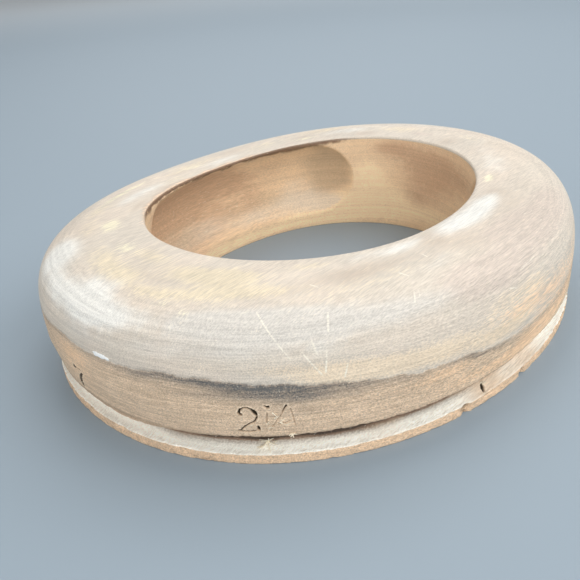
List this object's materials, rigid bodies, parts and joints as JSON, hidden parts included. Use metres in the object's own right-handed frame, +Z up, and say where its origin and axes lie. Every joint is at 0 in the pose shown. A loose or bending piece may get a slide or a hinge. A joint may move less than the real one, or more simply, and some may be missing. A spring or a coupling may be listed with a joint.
{
  "type": "hat block",
  "caption": "Open oval wooden crown block with a rounded shoulder, a cord groove over a thin lip and finger-grip recesses in its opening, for shaping felt hats.",
  "frame": {"origin": "centre of the oval, on the flat base", "axes": "+X along the oval's long axis (front to back of the head), +Y along its short axis, +Z up out of the crown"},
  "size_m": [0.1942, 0.1624, 0.041],
  "materials": {
    "crown_wood": "worn bare wood, bleached pale beige-grey by steam",
    "base_wood": "worn bare wood, stained brown",
    "peg_wood": "plain turned hardwood"
  },
  "bodies": {
    "root": {"crown_board": "crown_wood", "base_board": "base_wood", "peg_1": "peg_wood", "peg_2": "peg_wood", "peg_3": "peg_wood", "peg_4": "peg_wood", "peg_5": "peg_wood", "peg_6": "peg_wood"}
  },
  "joints": []
}
